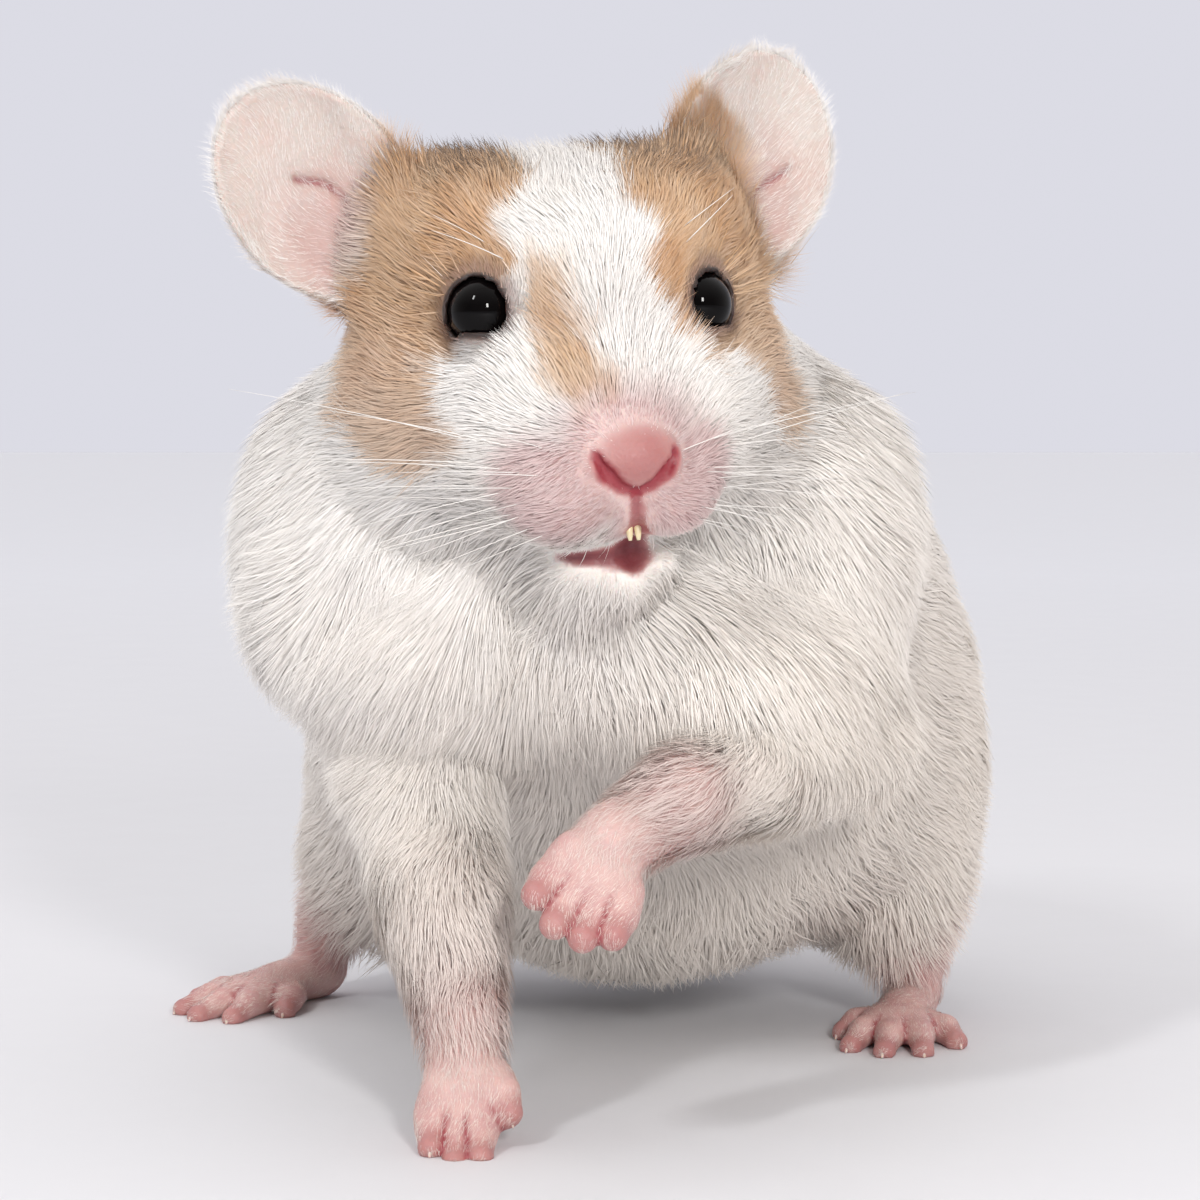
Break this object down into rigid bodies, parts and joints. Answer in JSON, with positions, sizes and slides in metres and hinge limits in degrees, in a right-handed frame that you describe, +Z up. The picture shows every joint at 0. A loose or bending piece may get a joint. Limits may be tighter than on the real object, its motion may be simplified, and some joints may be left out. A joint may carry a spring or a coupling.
{
  "type": "syrian hamster",
  "caption": "Life-size still model of a short-haired white and gold hamster that stands with one forepaw lifted and its head turned.",
  "frame": {"origin": "on the floor, under the middle of the animal's outline", "axes": "the animal faces -Y and its rump is towards +Y, its left side is +X, and +Z is up"},
  "size_m": [0.0734, 0.1034, 0.0831],
  "materials": {
    "coat_white": "soft short fur, warm white",
    "coat_face": "soft short fur, gold patches with dark tips on white",
    "skin_pink": "thin pink skin with sparse short white hairs",
    "eye_black": "wet and glossy",
    "tooth_ivory": "smooth yellow-white enamel"
  },
  "bodies": {
    "root": {"head": "coat_face", "neck": "coat_white", "trunk": "coat_white", "foreleg_right": "coat_white", "foreleg_left": "coat_white", "hindleg_right": "coat_white", "hindleg_left": "coat_white", "forepaw_right": "skin_pink", "forepaw_left": "skin_pink", "hindpaw_right": "skin_pink", "hindpaw_left": "skin_pink", "tail": "skin_pink", "ear_right": "skin_pink", "ear_left": "skin_pink", "eye_right": "eye_black", "eye_left": "eye_black", "incisors": "tooth_ivory"}
  },
  "joints": []
}
